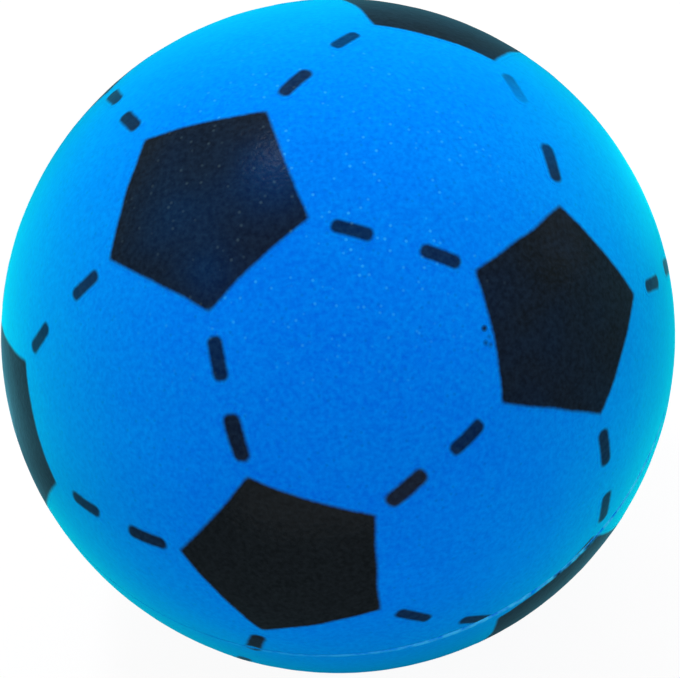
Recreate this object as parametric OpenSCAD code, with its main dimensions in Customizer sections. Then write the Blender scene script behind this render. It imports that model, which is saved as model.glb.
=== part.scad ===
// Foam soccer ball: two moulded foam halves glued together at the equator, with twelve printed
// pentagons and the dashed lines that run between neighbouring pentagons.
// Millimetres. The origin is the middle of the ball, the glued seam lies in the XY plane, and +Z
// is the axis through the tops of the two halves.

/* [Ball] */
// Diameter over the foam
ball_d = 200; // [170:1:260]

/* [Seam] */
// Thickness of the glue film between the halves
glue_t = 0.4; // [0.2:0.1:1]
// Width of the groove where the halves meet, at the surface
seam_w = 1.8; // [1.2:0.1:4]
// Depth of that groove
seam_depth = 0.6; // [0.4:0.1:2]
// Height of the squeezed-out glue, from the bottom of the groove
bead_h = 0.2; // [0.1:0.05:0.3]

/* [Pentagons] */
// A pentagon from its middle to a corner, measured along the surface
pentagon_r = 31; // [24:0.1:38]

/* [Dashes] */
// Length of a dash
dash_l = 12.2; // [8:0.1:17]
// Width of a dash
dash_w = 4.2; // [3:0.1:8]
// Radius of the corners of a dash
dash_corner_r = 1.8; // [0.5:0.1:4]
// Gap from the corner of a pentagon to the dash in front of it
dash_gap = 6.3; // [1:0.1:10]

/* [Ink] */
// Depth to which the ink soaks into the foam, below the bottom of the seam's groove
soak_depth = 0.3; // [0.1:0.1:1]
// Lean of the first pentagon from the top of the ball towards -X, in degrees
print_tilt = 16; // [0:1:30]
// Turn of the pattern about the first pentagon, in degrees
print_turn = 52; // [0:1:71]
// Length of one step of a stamp's slip along the surface
slip_l = 0.5; // [0:0.1:1]
// One step of a stamp's twist, in degrees
twist_step = 0.5; // [0:0.1:1]

/* [Hidden] */
$fn = 128;
// Cutters reach this far past the surface that they cut
over = 1;
ball_r = ball_d / 2;
deg_per_mm = 180 / (PI * ball_r);

// Seam: the flat face of each half, and the V-shaped groove that their eased rims leave
face_z = glue_t / 2;
groove_r = ball_r - seam_depth;
groove_slope = (seam_w / 2 - face_z) / seam_depth;
ink_depth = seam_depth + soak_depth;

// The pentagons stand on the corners of an icosahedron, and point at each other along its edges
sides = 5;
step = 360 / sides;
edge_angle = atan(2);
ring = [for (k = [0:sides - 1]) k * step];

// Middle of each pentagon: angle from the first pentagon, bearing round it, and own turn
stamps = concat(
    [[0, 0, 0]],
    [for (a = ring) [edge_angle, a, step / 2]],
    [for (a = ring) [180 - edge_angle, a + step / 2, 0]],
    [[180, 0, 0]]
);
// Each pentagon is stamped by itself, with the five dashes round it, and slips a little: the
// steps of slip along the stamp's own X and Y, and of twist
slips = [
    [-2, -1, 0],
    [5, 3, 0],
    [0, 0, 0],
    [2, 1, 0],
    [-2, 1, 1],
    [-3, -3, -2],
    [0, 0, 0],
    [0, 0, 0],
    [0, 0, 0],
    [-10, -7, -1],
    [0, 0, 0],
    [0, 0, 0]
];

// A straight prism of this radius reaches the surface at the pentagon's corners
prism_r = ball_r * sin(pentagon_r * deg_per_mm);

// A dash lies between the corner of its pentagon and the middle of the edge, clear of both
arm_l = edge_angle / deg_per_mm / 2 - pentagon_r;
dashes_fit = arm_l > dash_l;
dash_inset = min(dash_gap, (arm_l - dash_l) / 2);
dash_angle = (pentagon_r + dash_inset + dash_l / 2) * deg_per_mm;
// The corner radius leaves a short straight stretch on each side of the dash
round_share = 0.49;
dash_r = min(dash_corner_r, round_share * dash_w, round_share * dash_l);
// A stamp reaches this far from its middle, measured along the surface
stamp_reach = pentagon_r + (dashes_fit ? arm_l : 0);

foam_blue = "#0672dc";
ink_black = "#14181c";
glue_blue = "#0a3f74";

function numbered(name, i) = str(name, i < 9 ? "_0" : "_", i + 1);
PENTAGON_NODES = [for (i = [0:len(stamps) - 1]) numbered("pentagon_print", i)];
DASH_NODES = dashes_fit ? [for (i = [0:len(stamps) - 1]) numbered("dash_prints", i)] : [];

// Height above the seam of the place of a stamp
function height(stamp) =
    let (angle = stamp[0], bearing = stamp[1] + print_turn)
    ball_r * (sin(angle) * cos(bearing) * sin(print_tilt) + cos(angle) * cos(print_tilt));

// Moves what stands on the +Z axis to where stamp i was pressed
module at_stamp(i) {
    shift = slips[i] * slip_l * deg_per_mm;
    rotate([0, -print_tilt, 0]) rotate([0, 0, print_turn + stamps[i][1]])
        rotate([0, stamps[i][0], 0]) rotate([0, 0, stamps[i][2]])
            rotate([0, shift[0], 0]) rotate([-shift[1], 0, 0]) rotate([0, 0, slips[i][2] * twist_step])
                children();
}

// Straight prism over a flat outline, from inside the ball out past its surface
module prism() {
    translate([0, 0, ball_r / 2]) linear_extrude(ball_r / 2 + over) children();
}

// The whole ball, with the groove of the seam round it
module ball() {
    reach = seam_depth + over;
    difference() {
        sphere(r = ball_r);
        rotate_extrude()
            polygon([
                [groove_r, -face_z],
                [groove_r + reach, -face_z - reach * groove_slope],
                [groove_r + reach, face_z + reach * groove_slope],
                [groove_r, face_z]
            ]);
    }
}

module dash_outline() {
    square([dash_l - 2 * dash_r, dash_w], center = true);
    square([dash_l, dash_w - 2 * dash_r], center = true);
    for (x = [-1, 1], y = [-1, 1])
        translate([x * (dash_l / 2 - dash_r), y * (dash_w / 2 - dash_r)]) circle(r = dash_r);
}

// Room for the pentagon of one stamp, open at the surface
module pentagon_pocket(i) {
    difference() {
        at_stamp(i) prism() circle(r = prism_r, $fn = sides);
        sphere(r = ball_r - ink_depth);
    }
}

// Room for the dashes of one stamp, one in front of each corner of its pentagon
module dash_pockets(i) {
    difference() {
        at_stamp(i)
            for (a = ring)
                rotate([0, 0, a]) rotate([0, dash_angle, 0]) prism() dash_outline();
        sphere(r = ball_r - ink_depth);
    }
}

// The pockets of every stamp that reaches the part of the ball between two heights
module pockets(low, high) {
    for (i = [0:len(stamps) - 1])
        if (height(stamps[i]) > low - stamp_reach && height(stamps[i]) < high + stamp_reach) {
            pentagon_pocket(i);
            if (dashes_fit) dash_pockets(i);
        }
}

// Half a ball with a flat glued face, an eased rim and shallow pockets for the ink; side is 1 for
// the upper half and -1 for the lower
module foam_half(side) {
    reach = ball_r + over;
    difference() {
        ball();
        translate([0, 0, side * (face_z - reach)]) cube(2 * reach, center = true);
        pockets(side > 0 ? 0 : -ball_r, side > 0 ? ball_r : 0);
    }
}

module upper_foam_half() {
    color(foam_blue) foam_half(1);
}

module lower_foam_half() {
    color(foam_blue) foam_half(-1);
}

// Film over the whole glued face, with a bead that fills the bottom of the groove, except where
// ink runs on through the groove
module glue_film() {
    bead_z = face_z + bead_h * groove_slope;
    color(glue_blue)
        difference() {
            rotate_extrude()
                polygon([
                    [0, -face_z],
                    [groove_r, -face_z],
                    [groove_r + bead_h, -bead_z],
                    [groove_r + bead_h, bead_z],
                    [groove_r, face_z],
                    [0, face_z]
                ]);
            pockets(-bead_z, bead_z);
        }
}

module pentagon_print(i) {
    color(ink_black)
        intersection() {
            ball();
            pentagon_pocket(i);
        }
}

module dash_prints(i) {
    color(ink_black)
        intersection() {
            ball();
            dash_pockets(i);
        }
}

upper_foam_half();
lower_foam_half();
glue_film();
for (i = [0:len(PENTAGON_NODES) - 1])
    pentagon_print(i);
for (i = [0:1:len(DASH_NODES) - 1])
    dash_prints(i);
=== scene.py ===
# Foam soccer ball: two moulded foam halves, the glue between them, and the stamped print.
import math
import random

import bpy
from mathutils import Matrix, Vector, noise


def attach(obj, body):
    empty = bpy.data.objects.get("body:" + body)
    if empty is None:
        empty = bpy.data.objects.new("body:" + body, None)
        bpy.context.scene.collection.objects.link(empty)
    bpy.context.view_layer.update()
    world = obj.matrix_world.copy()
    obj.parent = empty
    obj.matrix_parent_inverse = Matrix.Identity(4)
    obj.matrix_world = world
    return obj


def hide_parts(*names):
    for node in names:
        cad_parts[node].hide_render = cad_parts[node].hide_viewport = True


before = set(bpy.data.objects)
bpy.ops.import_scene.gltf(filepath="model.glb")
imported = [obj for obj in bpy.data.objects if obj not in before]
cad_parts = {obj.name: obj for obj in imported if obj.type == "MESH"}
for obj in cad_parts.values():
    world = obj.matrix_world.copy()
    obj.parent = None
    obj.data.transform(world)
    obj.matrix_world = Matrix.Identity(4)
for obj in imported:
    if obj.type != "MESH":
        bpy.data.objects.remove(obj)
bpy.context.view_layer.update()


# Form of the ball
# Both halves are foamed in one round mould, so one surface serves for them and for the print on
# them: a 200 mm ball, with the faint swells and dents that soft foam keeps after it has cured.
BALL_R = 0.1
bpy.ops.object.select_all(action="DESELECT")
bpy.ops.mesh.primitive_cube_add(size=2 * BALL_R)
form = bpy.context.object
form.name = "ball_form"
bpy.ops.object.mode_set(mode="EDIT")
# 150 faces along each edge of the cube, which are about 1 mm across on the ball
bpy.ops.mesh.subdivide(number_cuts=74)
bpy.ops.mesh.subdivide(number_cuts=1)
bpy.ops.object.mode_set(mode="OBJECT")
to_ball = form.modifiers.new("to_ball", "CAST")
to_ball.cast_type = "SPHERE"
to_ball.factor = 1
to_ball.use_radius_as_size = False
to_ball.size = BALL_R
bpy.ops.object.modifier_apply(modifier="to_ball")
bpy.ops.object.shade_smooth()
for name, size, depth in (("swells", 0.03, 0.0003), ("dents", 0.004, 0.00008)):
    texture = bpy.data.textures.new(name, "CLOUDS")
    texture.noise_scale = size
    uneven = form.modifiers.new(name, "DISPLACE")
    uneven.texture = texture
    uneven.texture_coords = "LOCAL"
    uneven.strength = depth
    bpy.ops.object.modifier_apply(modifier=name)


# Foam halves
# Each half is poured as liquid polyurethane into a bowl of the mould, foams up, and comes out
# with a thin closed skin. Its flat face is glued to the other half, and its rim is rounded off.
MM = 1000  # millimetres in a metre
# The groove between the rims gapes most at this bearing, and right across the ball from it
GAPES_AT = math.radians(-45)
LEAST_OPEN = 0.03


def seam_open(place):
    """How far the groove between the rims stands open here: 1 is open, near 0 is pressed shut."""
    turn = math.atan2(place.y, place.x) - GAPES_AT
    return max(LEAST_OPEN, (0.5 + 0.5 * math.cos(2 * turn)) ** 2.2)


def half_ball(name, side, rim):
    """Cuts one half out of the form; rim has heights and radii in mm, from the skin to the flat face."""
    half = form.copy()
    half.data = form.data.copy()
    half.name = name
    bpy.context.collection.objects.link(half)
    bpy.ops.object.select_all(action="DESELECT")
    half.select_set(True)
    bpy.context.view_layer.objects.active = half
    bpy.ops.object.mode_set(mode="EDIT")
    bpy.ops.mesh.select_mode(type="EDGE")
    bpy.ops.mesh.select_all(action="SELECT")
    height, radius = rim[0]
    bpy.ops.mesh.bisect(plane_co=(0, 0, side * height / MM), plane_no=(0, 0, side), clear_inner=True)
    for z, r in rim[1:]:
        rise = side * (z - height) / MM
        bpy.ops.mesh.extrude_edges_move(TRANSFORM_OT_translate={"value": (0, 0, rise)})
        bpy.ops.transform.resize(value=(r / radius, r / radius, 1))
        height, radius = z, r
    bpy.ops.mesh.edge_face_add()
    bpy.ops.mesh.select_all(action="SELECT")
    bpy.ops.mesh.normals_make_consistent(inside=False)
    bpy.ops.object.mode_set(mode="OBJECT")
    # The trimmed rim isn't even: the glued halves close up tight in places and gape in others
    rim_top = rim[0][0] / MM - 0.00001
    own_lumps = Vector((0, 0, side))
    for v in half.data.vertices:
        if abs(v.co.z) < rim_top:
            around = Vector((v.co.x, v.co.y, 0))
            skin_r = math.sqrt(BALL_R ** 2 - v.co.z ** 2)
            lump = noise.noise(around * 150 + own_lumps) + 0.6 * noise.noise(around * 450 + own_lumps)
            depth = (skin_r - around.length) * seam_open(around) * (1 + 0.3 * lump)
            v.co.xy *= (skin_r - depth) / around.length
    bpy.ops.object.shade_smooth_by_angle(angle=math.radians(50))
    return half


upper_half = half_ball("upper_foam", 1, [
    (1.2, 99.993), (0.9, 99.95), (0.62, 99.82), (0.38, 99.62), (0.2, 99.35)])
lower_half = half_ball("lower_foam", -1, [
    (1.8, 99.984), (1.4, 99.97), (1.0, 99.88), (0.65, 99.72), (0.38, 99.52), (0.2, 99.3)])


def linear(code):
    """An sRGB hex colour as linear RGBA."""
    parts = [int(code[k:k + 2], 16) / 255 for k in (1, 3, 5)]
    return [p / 12.92 if p <= 0.04045 else ((p + 0.055) / 1.055) ** 2.4 for p in parts] + [1]


def add(tree, kind, settings, sockets):
    """Adds a node with its settings; a socket takes a number, a colour or another node's output."""
    made = tree.nodes.new(kind)
    for key, value in settings.items():
        setattr(made, key, value)
    for key, value in sockets.items():
        if isinstance(value, bpy.types.NodeSocket):
            tree.links.new(value, made.inputs[key])
        else:
            made.inputs[key].default_value = value
    return made


# Flexible polyurethane foam, dyed blue, with its moulded skin: dead matt, finely mottled by cells
# 1 to 2 mm across, and so fuzzy that its edge takes a pale cyan bloom. Round the poles it is
# sprinkled with pale cyan specks, which are painted glints standing in for highlights on its pores.
def foam_blue(tree):
    """The blue of the foam's skin, the height of its cells, and where painted glints and the chafed,
    painted-bright rim show.
    """
    place = add(tree, "ShaderNodeTexCoord", {}, {}).outputs["Object"]
    cells = add(tree, "ShaderNodeTexNoise", {}, {
        "Vector": place, "Scale": MM / 1.35, "Detail": 1.5, "Roughness": 0.5})
    tone = add(tree, "ShaderNodeMix", {"data_type": "RGBA"}, {
        "Factor": cells.outputs["Fac"], "A": linear("#004ad2"), "B": linear("#0080eb")})
    cloud = add(tree, "ShaderNodeTexNoise", {}, {
        "Vector": place, "Scale": MM / 24, "Detail": 2, "Roughness": 0.5})
    clouded = add(tree, "ShaderNodeMix", {"data_type": "RGBA", "blend_type": "SOFT_LIGHT"}, {
        "Factor": 0.15, "A": tone.outputs["Result"], "B": cloud.outputs["Color"]})
    # Open pores are painted a darker blue: painted shade in the pits
    pores = add(tree, "ShaderNodeTexVoronoi", {}, {"Vector": place, "Scale": MM / 3.2})
    pore_shade = add(tree, "ShaderNodeMapRange", {}, {
        "Value": pores.outputs["Distance"], "From Min": 0.05, "From Max": 0.2, "To Min": 0.6, "To Max": 0})
    pore_shaded = add(tree, "ShaderNodeMix", {"data_type": "RGBA"}, {
        "Factor": pore_shade.outputs["Result"], "A": clouded.outputs["Result"], "B": linear("#0058c4")})
    # Painted glints: pale cyan specks round the poles stand in for highlights on tiny glossy pore walls
    glint_cells = add(tree, "ShaderNodeTexVoronoi", {}, {"Vector": place, "Scale": MM / 3.4})
    glint_dot = add(tree, "ShaderNodeMapRange", {}, {
        "Value": glint_cells.outputs["Distance"], "From Min": 0.02, "From Max": 0.19, "To Min": 1, "To Max": 0})
    axes = add(tree, "ShaderNodeSeparateXYZ", {}, {"Vector": place})
    off_seam = add(tree, "ShaderNodeMath", {"operation": "ABSOLUTE"}, {0: axes.outputs["Z"]})
    pole = add(tree, "ShaderNodeMapRange", {}, {
        "Value": off_seam.outputs["Value"], "From Min": 0.075, "From Max": 0.098, "To Min": 0, "To Max": 0.5})
    glint_speck = add(tree, "ShaderNodeMath", {"operation": "MULTIPLY"}, {
        0: glint_dot.outputs["Result"], 1: pole.outputs["Result"]})
    glint_speckled = add(tree, "ShaderNodeMix", {"data_type": "RGBA"}, {
        "Factor": glint_speck.outputs["Value"], "A": pore_shaded.outputs["Result"], "B": linear("#38acf4")})
    # The trimmed lower rim is paler where the seam gapes: partly chafed raw foam, partly a painted highlight
    # on the lip
    below = add(tree, "ShaderNodeMath", {"operation": "ADD"}, {0: axes.outputs["Z"], 1: 0.0009})
    off_rim = add(tree, "ShaderNodeMath", {"operation": "ABSOLUTE"}, {0: below.outputs["Value"]})
    rim = add(tree, "ShaderNodeMapRange", {}, {
        "Value": off_rim.outputs["Value"], "From Min": 0.0004, "From Max": 0.0014, "To Min": 1, "To Max": 0})
    side = add(tree, "ShaderNodeMath", {"operation": "MULTIPLY"}, {
        0: axes.outputs["X"], 1: axes.outputs["Y"]})
    gape = add(tree, "ShaderNodeMath", {"operation": "MULTIPLY_ADD", "use_clamp": True}, {
        0: side.outputs["Value"], 1: -100, 2: 0.45})
    flakes = add(tree, "ShaderNodeTexNoise", {}, {"Vector": place, "Scale": MM / 3.5, "Detail": 3})
    flake = add(tree, "ShaderNodeMapRange", {}, {
        "Value": flakes.outputs["Fac"], "From Min": 0.36, "From Max": 0.6, "To Min": 0, "To Max": 0.9})
    gaping_rim = add(tree, "ShaderNodeMath", {"operation": "MULTIPLY"}, {
        0: rim.outputs["Result"], 1: gape.outputs["Value"]})
    chafe_and_lip_light = add(tree, "ShaderNodeMath", {"operation": "MULTIPLY"}, {
        0: gaping_rim.outputs["Value"], 1: flake.outputs["Result"]})
    chafed_and_lip_lit = add(tree, "ShaderNodeMix", {"data_type": "RGBA"}, {
        "Factor": chafe_and_lip_light.outputs["Value"], "A": glint_speckled.outputs["Result"], "B": linear("#44bef0")})
    return chafed_and_lip_lit.outputs["Result"], cells.outputs["Fac"], glint_speck.outputs["Value"], chafe_and_lip_light.outputs["Value"]


FOAM_SHINE = {
    "Roughness": 0.9, "IOR": 1.5, "Specular IOR Level": 0,
    "Sheen Weight": 1, "Sheen Roughness": 0.5, "Sheen Tint": linear("#11fffc")}
CELL_RELIEF = {"Strength": 0.6, "Distance": 0.0001}
foam = bpy.data.materials.new("moulded_polyurethane_foam")
foam.use_nodes = True
tree = foam.node_tree
tree.nodes.clear()
colour, cells, _, _ = foam_blue(tree)
relief = add(tree, "ShaderNodeBump", {}, {"Height": cells, **CELL_RELIEF})
skin = add(tree, "ShaderNodeBsdfPrincipled", {}, {
    "Base Color": colour, "Normal": relief.outputs["Normal"], **FOAM_SHINE})
add(tree, "ShaderNodeOutputMaterial", {}, {"Surface": skin.outputs["BSDF"]})
for half, node in ((upper_half, "upper_foam_half"), (lower_half, "lower_foam_half")):
    half.data.materials.clear()
    half.data.materials.append(foam)
    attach(half, "root")
    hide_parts(node)


# Glue film
# Contact adhesive is spread over the flat faces and the halves are pressed together. What is
# squeezed out sets as a thin uneven bead at the bottom of the groove between the rims.
GLUE_R, GLUE_T = 0.0993, 0.0004
# Height of the bead's lumps, and how far it is pushed out where the groove is shut
BEAD_LUMP, BEAD_PUSH = 0.00007, 0.00044
bpy.ops.object.select_all(action="DESELECT")
bpy.ops.mesh.primitive_cylinder_add(vertices=480, radius=GLUE_R, depth=GLUE_T)
glue_film = bpy.context.object
glue_film.name = "glue_seam"
bpy.ops.object.mode_set(mode="EDIT")
bpy.ops.mesh.select_mode(type="FACE")
bpy.ops.mesh.select_all(action="DESELECT")
bpy.ops.object.mode_set(mode="OBJECT")
for face in glue_film.data.polygons:
    face.select = abs(face.normal.z) < 0.5
bpy.ops.object.mode_set(mode="EDIT")
# The bead swells to more than the thickness of the film, and is rounded off outside
for out, swell in ((0.00012, 1.35), (0.0001, 0.5)):
    bpy.ops.mesh.extrude_region_shrink_fatten(TRANSFORM_OT_shrink_fatten={"value": out})
    bpy.ops.transform.resize(value=(1, 1, swell))
bpy.ops.object.mode_set(mode="OBJECT")
for v in glue_film.data.vertices:
    around = Vector((v.co.x, v.co.y, 0))
    if around.length > GLUE_R + 0.00005:
        lump = BEAD_LUMP * noise.noise(around * 160)
        v.co.xy *= 1 + (lump + BEAD_PUSH * (1 - seam_open(around))) / around.length
bpy.ops.object.shade_smooth_by_angle(angle=math.radians(60))

# Cured rubber adhesive: dull, and stained by the blue foam on either side of it.
adhesive = bpy.data.materials.new("cured_contact_adhesive")
adhesive.use_nodes = True
tree = adhesive.node_tree
tree.nodes.clear()
place = add(tree, "ShaderNodeTexCoord", {}, {}).outputs["Object"]
blotch = add(tree, "ShaderNodeTexNoise", {}, {"Vector": place, "Scale": MM / 3, "Detail": 2})
stain = add(tree, "ShaderNodeMix", {"data_type": "RGBA"}, {
    "Factor": blotch.outputs["Fac"], "A": linear("#0056ba"), "B": linear("#006ace")})
glue = add(tree, "ShaderNodeBsdfPrincipled", {}, {
    "Base Color": stain.outputs["Result"], "Roughness": 0.7, "IOR": 1.5, "Specular IOR Level": 0,
    "Sheen Weight": 0.6, "Sheen Roughness": 0.5, "Sheen Tint": linear("#11ffff")})
add(tree, "ShaderNodeOutputMaterial", {}, {"Surface": glue.outputs["BSDF"]})
glue_film.data.materials.append(adhesive)
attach(glue_film, "root")
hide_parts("glue_film")


# Pentagon prints
# Black ink is pressed onto the skin with twelve rubber stamps, one pentagon with its five dashes
# at a time, and soaks in. Each stamp lands a little off its place, and none reaches into the seam.
TILT, TURN = -16, 52
RING = [72 * k for k in range(5)]
EDGE = math.degrees(math.atan(2))
# Angle from the first pentagon, bearing round it, and the stamp's own turn, in degrees
STAMPS = (
    [(0, 0, 0)] + [(EDGE, b, 36) for b in RING] + [(180 - EDGE, b + 36, 0) for b in RING] + [(180, 0, 0)])
# Slip of a stamp along its own X and Y, in mm, and its twist, in degrees
SLIPS = {
    1: (-1, -0.5, 0), 2: (2.5, 1.5, 0), 4: (1, 0.5, 0), 5: (-1, 0.5, 0.5), 6: (-1.5, -1.5, -1),
    10: (-5, -3.5, -0.5)}
# A pentagon is 31 mm from its middle to a corner, along the surface
PENTAGON_R = BALL_R * math.sin(0.031 / BALL_R)
# A print's mesh reaches this far past its outline, for the ink to spread on, and wanders this far
BLEED = 0.0013
WANDER = 0.0004
# The outlines wander in the same way on every run
noise.seed_set(6)
# The ink keeps this far from the middle of the seam, lies this proud of the skin and soaks in this deep
SEAM_CLEAR = 0.00045
LIFT = 0.00004
INK_T = 0.00015
# Height off the middle of the seam just past the rounded rims, and partway down them
RIM_H, MID_RIM_H = 0.002, 0.0012


def on_ball(x, y):
    """Moves what stands on the +Z axis along the surface, by metres in X and Y."""
    return Matrix.Rotation(x / BALL_R, 4, "Y") @ Matrix.Rotation(-y / BALL_R, 4, "X")


def at_stamp(number):
    """Moves what stands on the +Z axis to where that stamp was pressed."""
    angle, bearing, own_turn = STAMPS[number - 1]
    x, y, twist = SLIPS.get(number, (0, 0, 0))
    place = Matrix.Identity(4)
    for degrees, axis in ((TILT, "Y"), (TURN + bearing, "Z"), (angle, "Y"), (own_turn, "Z")):
        place = place @ Matrix.Rotation(math.radians(degrees), 4, axis)
    return place @ on_ball(x / MM, y / MM) @ Matrix.Rotation(math.radians(twist), 4, "Z")


def press(print_, place, name, spread, load, lowest=-BALL_R, thin=()):
    """Lays a flat print on the ball at a place, keeps it out of the seam, and soaks it into the skin.

    Spread, in mm, is how far the ink runs past the outline; load is its cover in the middle of the
    stamp, and how much more of it there is at the +X and +Y ends.
    Below the lowest height the stamp didn't touch the ball. Thin spots have their place on the stamp
    and width in mm, and how much cover they lack.
    """
    ink = print_.copy()
    ink.data = print_.data.copy()
    ink.name = name
    bpy.context.collection.objects.link(ink)
    bpy.ops.object.select_all(action="DESELECT")
    ink.select_set(True)
    bpy.context.view_layer.objects.active = ink
    reach = max(v.co.x for v in ink.data.vertices)
    margin = ink.data.attributes["ink_margin"].data
    cover = ink.data.attributes["ink_load"].data
    for v in ink.data.vertices:
        margin[v.index].value += spread
        lacking = 0
        for x, y, wide, lack in thin:
            lacking += lack * math.exp(-((v.co.x * MM - x) ** 2 + (v.co.y * MM - y) ** 2) / wide ** 2)
        cover[v.index].value = load[0] + (load[1] * v.co.x + load[2] * v.co.y) / reach - lacking
        v.co.xy += WANDER * noise.noise_vector((place @ v.co) * 110).xy
    ink.matrix_world = place
    lay = ink.modifiers.new("lay", "SHRINKWRAP")
    lay.target = form
    lay.wrap_method = "PROJECT"
    lay.use_project_z = True
    lay.use_negative_direction = True
    lay.use_positive_direction = False
    lay.offset = LIFT
    bpy.ops.object.modifier_apply(modifier="lay")
    bpy.ops.object.transform_apply(location=True, rotation=True, scale=True)
    heights = [v.co.z for v in ink.data.vertices]
    if min(heights) < RIM_H and max(heights) > -RIM_H:
        bpy.ops.object.mode_set(mode="EDIT")
        bpy.ops.mesh.select_mode(type="FACE")
        for height in (RIM_H, MID_RIM_H, SEAM_CLEAR, -SEAM_CLEAR, -MID_RIM_H, -RIM_H):
            bpy.ops.mesh.select_all(action="SELECT")
            bpy.ops.mesh.bisect(plane_co=(0, 0, height), plane_no=(0, 0, 1))
        bpy.ops.mesh.select_all(action="DESELECT")
        bpy.ops.object.mode_set(mode="OBJECT")
        for face in ink.data.polygons:
            face.select = abs(face.center.z) < SEAM_CLEAR or face.center.z < lowest
        bpy.ops.object.mode_set(mode="EDIT")
        bpy.ops.mesh.delete(type="FACE")
        bpy.ops.object.mode_set(mode="OBJECT")
        settle = ink.modifiers.new("settle", "SHRINKWRAP")
        settle.target = foam_skin
        settle.wrap_method = "NEAREST_SURFACEPOINT"
        settle.wrap_mode = "ABOVE_SURFACE"
        settle.offset = LIFT
        bpy.ops.object.modifier_apply(modifier="settle")
        # The rounded rim takes the ink badly, so its edge there is torn and leaves bare flecks
        margin = ink.data.attributes["ink_margin"].data
        for v in ink.data.vertices:
            torn = 0.2 + 0.5 * noise.noise(v.co * 90) + noise.noise(v.co * 400)
            margin[v.index].value = min(margin[v.index].value, (abs(v.co.z) - SEAM_CLEAR) * MM - torn)
    soak = ink.modifiers.new("soak", "SOLIDIFY")
    soak.thickness = INK_T
    soak.offset = -1
    bpy.ops.object.modifier_apply(modifier="soak")
    bpy.ops.object.shade_smooth_by_angle(angle=math.radians(60))
    return ink


def join(pieces, into):
    """Makes one piece of several."""
    bpy.ops.object.select_all(action="DESELECT")
    for piece in pieces:
        piece.select_set(True)
    bpy.context.view_layer.objects.active = into
    bpy.ops.object.join()


# The two rims as they meet, for the ink to settle on
bpy.ops.object.select_all(action="DESELECT")
for half in (upper_half, lower_half):
    half.select_set(True)
bpy.context.view_layer.objects.active = upper_half
bpy.ops.object.duplicate()
bpy.ops.object.join()
foam_skin = bpy.context.object

HALF_STEP = math.radians(36)
bpy.ops.object.select_all(action="DESELECT")
bpy.ops.mesh.primitive_circle_add(
    vertices=5, radius=PENTAGON_R + BLEED / math.cos(HALF_STEP), fill_type="TRIFAN",
    location=(0, 0, BALL_R + 0.01), rotation=(0, 0, math.radians(-90)))
pentagon = bpy.context.object
pentagon.name = "pentagon_stamp"
bpy.ops.object.mode_set(mode="EDIT")
bpy.ops.mesh.subdivide(number_cuts=39)
bpy.ops.object.mode_set(mode="OBJECT")
bpy.ops.object.transform_apply(location=True, rotation=True, scale=True)
# How far each point lies inside the outline, in mm: the ink thins out there
CORNER_SOFTNESS = 0.0003
margin = pentagon.data.attributes.new("ink_margin", "FLOAT", "POINT")
pentagon.data.attributes.new("ink_load", "FLOAT", "POINT")
for v in pentagon.data.vertices:
    bearings = [math.radians(36 + b) for b in RING]
    reaches = [v.co.x * math.cos(b) + v.co.y * math.sin(b) for b in bearings]
    reach = CORNER_SOFTNESS * math.log(sum(math.exp(r / CORNER_SOFTNESS) for r in reaches))
    margin.data[v.index].value = (PENTAGON_R * math.cos(HALF_STEP) - reach) * MM

# Stamping ink, soaked into the foam's skin: a soft near-black, navy where it is thin, faintly satin,
# with the foam's grain showing through and a soft edge where it has spread.
stamped = bpy.data.materials.new("stamped_black_ink")
stamped.use_nodes = True
tree = stamped.node_tree
tree.nodes.clear()
colour, cells, glint_speck, chafe_and_lip_light = foam_blue(tree)
place = add(tree, "ShaderNodeTexCoord", {}, {}).outputs["Object"]
edge = add(tree, "ShaderNodeAttribute", {"attribute_name": "ink_margin"}, {}).outputs["Fac"]
ink_load = add(tree, "ShaderNodeAttribute", {"attribute_name": "ink_load"}, {}).outputs["Fac"]
# Cover: ragged and soft at the edge, uneven in patches, and worn off where the rim is chafed and painted
# bright
ragged = add(tree, "ShaderNodeTexNoise", {}, {"Vector": place, "Scale": MM / 1.4, "Detail": 2})
torn = add(tree, "ShaderNodeMath", {"operation": "MULTIPLY_ADD"}, {0: ragged.outputs["Fac"], 1: 0.4, 2: -0.2})
ragged_edge = add(tree, "ShaderNodeMath", {"operation": "ADD"}, {0: edge, 1: torn.outputs["Value"]})
fade = add(tree, "ShaderNodeMapRange", {"interpolation_type": "SMOOTHSTEP"}, {
    "Value": ragged_edge.outputs["Value"], "From Min": -0.8, "From Max": 0.8, "To Min": 0, "To Max": 1})
patches = add(tree, "ShaderNodeTexNoise", {}, {"Vector": place, "Scale": MM / 22, "Detail": 2})
patchy = add(tree, "ShaderNodeMath", {"operation": "MULTIPLY_ADD"}, {
    0: patches.outputs["Fac"], 1: 0.045, 2: -0.0225})
worn = add(tree, "ShaderNodeMath", {"operation": "MULTIPLY_ADD"}, {0: cells, 1: -0.02, 2: 0.01})
uneven = add(tree, "ShaderNodeMath", {"operation": "ADD"}, {
    0: patchy.outputs["Value"], 1: worn.outputs["Value"]})
film = add(tree, "ShaderNodeMath", {"operation": "ADD", "use_clamp": True}, {
    0: ink_load, 1: uneven.outputs["Value"]})
whole = add(tree, "ShaderNodeMath", {"operation": "MULTIPLY"}, {
    0: fade.outputs["Result"], 1: film.outputs["Value"]})
kept = add(tree, "ShaderNodeMath", {"operation": "SUBTRACT"}, {0: 1, 1: chafe_and_lip_light})
cover = add(tree, "ShaderNodeMath", {"operation": "MULTIPLY"}, {
    0: whole.outputs["Value"], 1: kept.outputs["Value"]})
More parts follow.
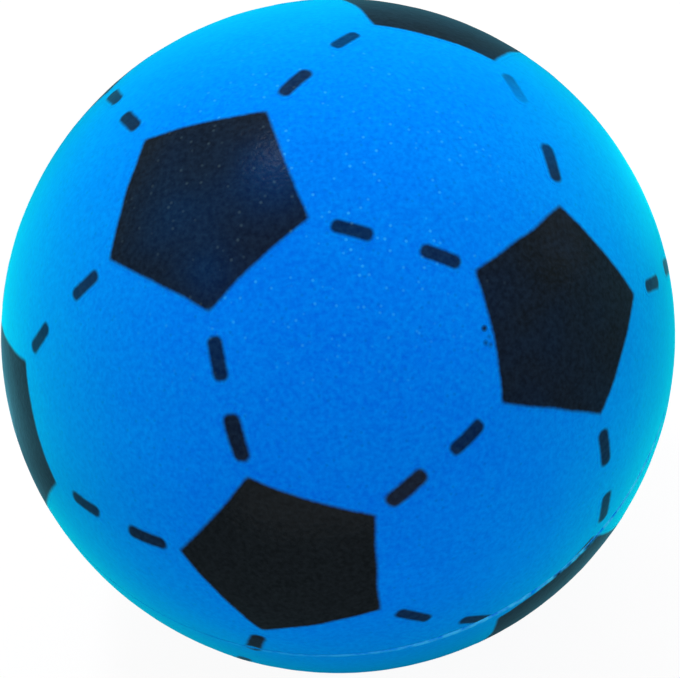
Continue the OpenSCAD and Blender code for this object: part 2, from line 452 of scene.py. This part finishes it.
# Colour: grained like the foam, and a shade darker where the film is lean
thick = add(tree, "ShaderNodeMapRange", {}, {
    "Value": film.outputs["Value"], "From Min": 0.88, "From Max": 1, "To Min": 0, "To Max": 1})
grain = add(tree, "ShaderNodeMapRange", {}, {
    "Value": cells, "From Min": 0.3, "From Max": 0.7, "To Min": 0, "To Max": 1})
lean_ink = add(tree, "ShaderNodeMix", {"data_type": "RGBA"}, {
    "Factor": grain.outputs["Result"], "A": linear("#000103"), "B": linear("#0c1419")})
full_ink = add(tree, "ShaderNodeMix", {"data_type": "RGBA"}, {
    "Factor": grain.outputs["Result"], "A": linear("#0e1215"), "B": linear("#161b1f")})
black = add(tree, "ShaderNodeMix", {"data_type": "RGBA"}, {
    "Factor": thick.outputs["Result"], "A": lean_ink.outputs["Result"], "B": full_ink.outputs["Result"]})
# Pale grey flecks round the poles are painted glints on the ink, as on the foam
glint_flecked = add(tree, "ShaderNodeMix", {"data_type": "RGBA"}, {
    "Factor": glint_speck, "A": black.outputs["Result"], "B": linear("#3c4a52")})
relief = add(tree, "ShaderNodeBump", {}, {"Height": cells, **CELL_RELIEF})
glints = add(tree, "ShaderNodeBump", {}, {"Height": cells, "Strength": 0.8, "Distance": 0.00013})
bare = add(tree, "ShaderNodeBsdfPrincipled", {}, {
    "Base Color": colour, "Normal": relief.outputs["Normal"], **FOAM_SHINE})
inked = add(tree, "ShaderNodeBsdfPrincipled", {}, {
    "Base Color": glint_flecked.outputs["Result"], "Normal": relief.outputs["Normal"],
    "Roughness": 0.8, "IOR": 1.5, "Specular IOR Level": 0,
    "Coat Weight": 0.018, "Coat Roughness": 0.22, "Coat IOR": 1.5, "Coat Normal": glints.outputs["Normal"],
    "Sheen Weight": 0.44, "Sheen Roughness": 0.3, "Sheen Tint": linear("#6cd2ee")})
skin = add(tree, "ShaderNodeMixShader", {}, {
    "Fac": cover.outputs["Value"], 1: bare.outputs["BSDF"], 2: inked.outputs["BSDF"]})
add(tree, "ShaderNodeOutputMaterial", {}, {"Surface": skin.outputs["Shader"]})
pentagon.data.materials.append(stamped)

# Some stamps carried more ink than others, and one touched the ball lightly in places
USUAL_SPREAD = 0.1
USUAL_LOAD = (0.98, 0, 0)
SPREADS = {1: 0.5, 6: 0.5}
LOADS = {
    1: (0.983, 0, 0.01), 3: (0.955, -0.005, 0), 5: (1.06, 0, 0), 6: (0.986, 0.008, 0.008),
    7: (0.95, 0.01, 0), 9: (0.95, 0, 0), 12: (0.95, 0, 0.01)}
# The first thin spot of stamp 1 lies under the key light's satin patch and also paints part of that highlight
THIN_SPOTS_AND_HIGHLIGHT = {1: ((16, -14, 11, 0.075), (-6, 3, 13, 0.045), (-17, -13, 8, 0.04))}
pentagon_inks = {}
for number in range(1, 13):
    pentagon_inks[number] = press(
        pentagon, at_stamp(number), f"pentagon_ink_{number:02d}",
        SPREADS.get(number, USUAL_SPREAD), LOADS.get(number, USUAL_LOAD), thin=THIN_SPOTS_AND_HIGHLIGHT.get(number, ()))
bpy.data.objects.remove(pentagon)

# One stamp splashed a few drops beside its pentagon: their place on the stamp and size, in mm, and
# how well they cover
DROPS = ((-27.3, 2.6, 0.8, 0.95), (-27.8, -1.2, 0.55, 0.75), (-26.3, 0.1, 0.4, 0.5), (-26.5, -2, 0.5, 0.6))
bpy.ops.object.select_all(action="DESELECT")
bpy.ops.mesh.primitive_circle_add(
    vertices=16, radius=0.001, fill_type="TRIFAN", location=(0, 0, BALL_R + 0.001))
drop = bpy.context.object
drop.name = "drop_stamp"
bpy.ops.object.mode_set(mode="EDIT")
bpy.ops.mesh.subdivide(number_cuts=3)
bpy.ops.object.mode_set(mode="OBJECT")
bpy.ops.object.transform_apply(location=True, rotation=True, scale=True)
margin = drop.data.attributes.new("ink_margin", "FLOAT", "POINT")
drop.data.attributes.new("ink_load", "FLOAT", "POINT")
for v in drop.data.vertices:
    margin.data[v.index].value = -v.co.xy.length * MM
drop.data.materials.append(stamped)
drops = []
for x, y, size, load in DROPS:
    drops.append(press(drop, at_stamp(6) @ on_ball(x / MM, y / MM), "drop", size, (load, 0, 0)))
bpy.data.objects.remove(drop)
join(drops + [pentagon_inks[6]], into=pentagon_inks[6])
for number, ink in pentagon_inks.items():
    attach(ink, "root")
    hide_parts(f"pentagon_print_{number:02d}")


# Dash prints
# Five short dashes stand in front of the corners of each pentagon, on the same stamp, so that two
# neighbouring stamps leave a broken line between them. They are cut by hand, and no two are alike.
DASH_L, DASH_W, DASH_CORNER = 0.0122, 0.0042, 0.0018
# From the middle of a pentagon to the middle of its dash, along the surface
DASH_PLACE = 0.0434
bpy.ops.object.select_all(action="DESELECT")
bpy.ops.mesh.primitive_grid_add(x_subdivisions=30, y_subdivisions=12, size=1, location=(0, 0, BALL_R + 0.003))
dash = bpy.context.object
dash.name = "dash_stamp"
dash.scale = (DASH_L + 2 * BLEED, DASH_W + 2 * BLEED, 1)
bpy.ops.object.transform_apply(location=True, rotation=True, scale=True)
margin = dash.data.attributes.new("ink_margin", "FLOAT", "POINT")
dash.data.attributes.new("ink_load", "FLOAT", "POINT")
for v in dash.data.vertices:
    past = abs(v.co.x) - (DASH_L / 2 - DASH_CORNER)
    if past > 0:
        half_width = DASH_W / 2 - DASH_CORNER + math.sqrt(max(0, (DASH_CORNER + BLEED) ** 2 - past ** 2))
        v.co.y *= half_width / (DASH_W / 2 + BLEED)
    corner = Vector((max(0, past), max(0, abs(v.co.y) - DASH_W / 2 + DASH_CORNER)))
    inside = min(DASH_L / 2 - abs(v.co.x), DASH_W / 2 - abs(v.co.y))
    margin.data[v.index].value = (DASH_CORNER - corner.length if corner.length > 0 else inside) * MM
dash.data.materials.append(stamped)
# How far a dash strays along and across its line, in mm, and its size; the rest stray by chance
STRAYS = {
    (1, 1): (1, 0.5, 1), (1, 2): (1, 0, 0.95), (1, 3): (-1, 1, 0.9), (1, 4): (1, 0, 1),
    (1, 5): (0, -0.5, 0.93),
    (2, 3): (1, 0.5, 0.88), (2, 4): (0, 0, 1),
    (4, 2): (1.5, 1.5, 0.95), (4, 3): (-0.5, -0.5, 0.92),
    (5, 1): (-1.5, 0.5, 0.95), (5, 2): (-1, 0.5, 1.1), (5, 3): (-1, -0.5, 1.1), (5, 4): (-2, -0.5, 1.03),
    (5, 5): (-1.5, 0, 1.08),
    (6, 1): (2, 0.5, 0.9), (6, 2): (1.5, -1, 1), (6, 3): (-1.5, 0, 0.93), (6, 4): (1.5, -0.5, 0.93),
    (6, 5): (-0.5, -0.5, 1),
    (10, 3): (-2, -3, 0.95), (10, 4): (-2.5, -1, 0.95)}
# Dashes that took less ink than most, or more
WET_OR_DRY = {
    (1, 1): (0.925, 0, 0), (2, 3): (0.84, 0, 0), (2, 4): (0.42, -0.2, 0), (5, 2): (0.975, 0, 0),
    (5, 3): (0.975, 0, 0), (5, 4): (0.945, 0, 0), (5, 5): (0.985, 0, 0), (6, 2): (0.89, -0.06, 0),
    (6, 5): (0.94, 0, 0)}
# Lowest height that a stamp reached, where it rode on the upper rim
RODE = {(10, 4): 0}
chance = random.Random(12)
for number in range(1, 13):
    laid = []
    for k, bearing in enumerate(RING, start=1):
        drawn = (chance.uniform(-1.2, 1.2), chance.uniform(-0.8, 0.8), chance.uniform(0.93, 1.07))
        drawn_load = (chance.uniform(0.87, 0.93), 0, 0)
        along, across, size = STRAYS.get((number, k), drawn)
        line = at_stamp(number) @ Matrix.Rotation(math.radians(bearing), 4, "Z")
        place = line @ on_ball(DASH_PLACE + along / MM, 0)
        place = place @ on_ball(0, across / MM) @ Matrix.Diagonal((size, size, 1, 1))
        laid.append(press(
            dash, place, f"dash_ink_{number:02d}_{k}", USUAL_SPREAD,
            WET_OR_DRY.get((number, k), drawn_load), RODE.get((number, k), -BALL_R)))
    join(laid, into=laid[0])
    laid[0].name = f"dash_ink_{number:02d}"
    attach(laid[0], "root")
    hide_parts(f"dash_prints_{number:02d}")
for tool in (dash, form, foam_skin):
    bpy.data.objects.remove(tool)


# Studio
# The ball lies on a plain pale table under soft light from all round, strongest from low in front.
# A small key light above and behind it gives the print its satin patch.
def seen_directly(tree):
    """1 for what the camera sees, also in gloss or through glass, and 0 for what lights the ball."""
    ray = add(tree, "ShaderNodeLightPath", {}, {})
    seen = ray.outputs["Is Camera Ray"]
    for kind in ("Is Glossy Ray", "Is Transmission Ray"):
        either = add(tree, "ShaderNodeMath", {"operation": "MAXIMUM"}, {0: seen, 1: ray.outputs[kind]})
        seen = either.outputs["Value"]
    return seen


bpy.ops.object.select_all(action="DESELECT")
bpy.ops.mesh.primitive_plane_add(size=40, location=(0, 0, -BALL_R))
table = bpy.context.object
table.name = "table_top"
# White paper, which glows enough to stay white round the ball and still shows a faint shadow
paper = bpy.data.materials.new("white_paper")
paper.use_nodes = True
tree = paper.node_tree
tree.nodes.clear()
seen = seen_directly(tree)
glow = add(tree, "ShaderNodeMath", {"operation": "MULTIPLY"}, {0: seen, 1: 0.92})
grey = add(tree, "ShaderNodeMix", {"data_type": "RGBA"}, {
    "Factor": seen, "A": linear("#585858"), "B": linear("#ffffff")})
sheet = add(tree, "ShaderNodeBsdfDiffuse", {}, {"Color": grey.outputs["Result"]})
white = add(tree, "ShaderNodeEmission", {}, {"Color": linear("#ffffff"), "Strength": 1.0})
mixed = add(tree, "ShaderNodeMixShader", {}, {
    "Fac": glow.outputs["Value"], 1: sheet.outputs["BSDF"], 2: white.outputs["Emission"]})
add(tree, "ShaderNodeOutputMaterial", {}, {"Surface": mixed.outputs["Shader"]})
table.data.materials.append(paper)

world = bpy.data.worlds.new("white_studio")
bpy.context.scene.world = world
world.use_nodes = True
tree = world.node_tree
tree.nodes.clear()
around = add(tree, "ShaderNodeBackground", {}, {"Color": linear("#ffffff"), "Strength": 0.1})
behind = add(tree, "ShaderNodeBackground", {}, {"Color": linear("#ffffff"), "Strength": 1.0})
mixed = add(tree, "ShaderNodeMixShader", {}, {
    "Fac": seen_directly(tree), 1: around.outputs["Background"], 2: behind.outputs["Background"]})
add(tree, "ShaderNodeOutputWorld", {}, {"Surface": mixed.outputs["Shader"]})

# Lamps: azimuth and elevation from the ball in degrees, width and height in metres, power in watts
LAMP_DISTANCE = 1.5
for name, azimuth, elevation, width, height, power in (
        ("softbox_front", 0, 11, 1.8, 0.6, 20.5),
        ("softbox_right", 120, 10, 1.2, 0.6, 9.7),
        ("softbox_above_right", 120, 55, 1.2, 1.0, 7),
        ("softbox_behind", 180, 30, 1.0, 0.8, 11.5),
        ("softbox_behind_left", 240, 10, 2.2, 0.6, 11),
        ("softbox_above_left", 240, 55, 1.4, 1.2, 3.5),
        ("key_light", 195, 52, 0.2, 0.2, 10)):
    bpy.ops.object.light_add(type="AREA")
    lamp = bpy.context.object
    lamp.name = name
    lamp.data.shape = "RECTANGLE"
    lamp.data.size = width
    lamp.data.size_y = height
    lamp.data.energy = power
    a, e = math.radians(azimuth), math.radians(elevation)
    away = Vector((math.sin(a) * math.cos(e), -math.cos(a) * math.cos(e), math.sin(e)))
    lamp.location = away * LAMP_DISTANCE
    lamp.rotation_mode = "QUATERNION"
    lamp.rotation_quaternion = away.to_track_quat("Z", "Y")


# Camera
# It looks down on the ball from in front, a little tipped, through a long lens.
a, e, tip = (math.radians(d) for d in (8.57, 64.37, 13.57))
CAMERA_DISTANCE = 0.872
back = Vector((math.sin(a) * math.cos(e), -math.cos(a) * math.cos(e), math.sin(e)))
plain_up = Vector((-math.sin(a) * math.sin(e), math.cos(a) * math.sin(e), math.cos(e)))
up = plain_up * math.cos(tip) + plain_up.cross(back) * math.sin(tip)
turned = Matrix((up.cross(back), up, back)).transposed().to_4x4()
bpy.ops.object.camera_add()
camera = bpy.context.object
camera.matrix_world = Matrix.Translation(back * CAMERA_DISTANCE) @ turned
camera.data.sensor_width = 36
camera.data.lens = 154.6
camera.data.shift_x = 0.0026
camera.data.shift_y = -0.0046
bpy.context.scene.camera = camera
bpy.context.scene.view_settings.view_transform = "Standard"

bpy.context.view_layer.update()
